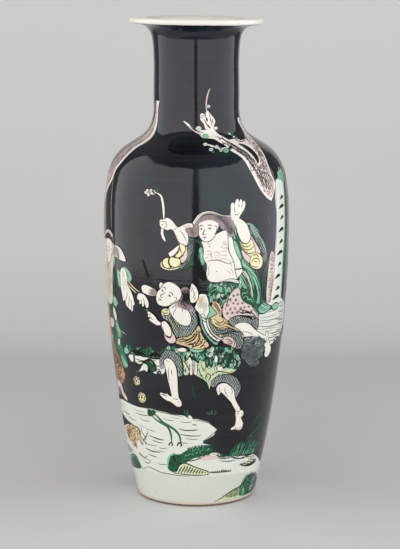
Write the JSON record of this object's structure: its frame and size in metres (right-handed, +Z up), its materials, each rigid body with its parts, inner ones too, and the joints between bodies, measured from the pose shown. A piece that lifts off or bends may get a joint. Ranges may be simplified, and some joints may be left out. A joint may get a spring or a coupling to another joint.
{
  "type": "baluster vase",
  "caption": "Tall black-ground porcelain baluster vase with a flared white lip, waisted neck, rounded shoulder and a body that tapers to a turned foot ring.",
  "frame": {"origin": "centre of the foot ring on the plane that the vase stands on", "axes": "+Z up along the axis of revolution, -Y towards the painted front that faces the viewer"},
  "size_m": [0.2346, 0.2346, 0.61],
  "materials": {
    "black_ground": "glossy black enamel ground with a faint green and brown cast",
    "white_glaze": "glossy off-white glaze on the lip and the inside",
    "bare_foot": "bare fired porcelain, burnt reddish brown",
    "luting_slip": "bare fired slip, smoothed by hand",
    "enamel_white": "raised white enamel",
    "enamel_water": "thin pale green enamel over white",
    "enamel_green": "glassy translucent green enamel",
    "enamel_yellow": "glassy yellow enamel",
    "enamel_brown": "glassy amber and brown enamel",
    "enamel_aubergine": "thin aubergine enamel",
    "enamel_line": "fine dry black brush line"
  },
  "bodies": {
    "root": {"lower_body": "black_ground", "body_seam_slip": "luting_slip", "upper_body": "black_ground", "neck_seam_slip": "luting_slip", "neck": "black_ground"}
  },
  "joints": []
}
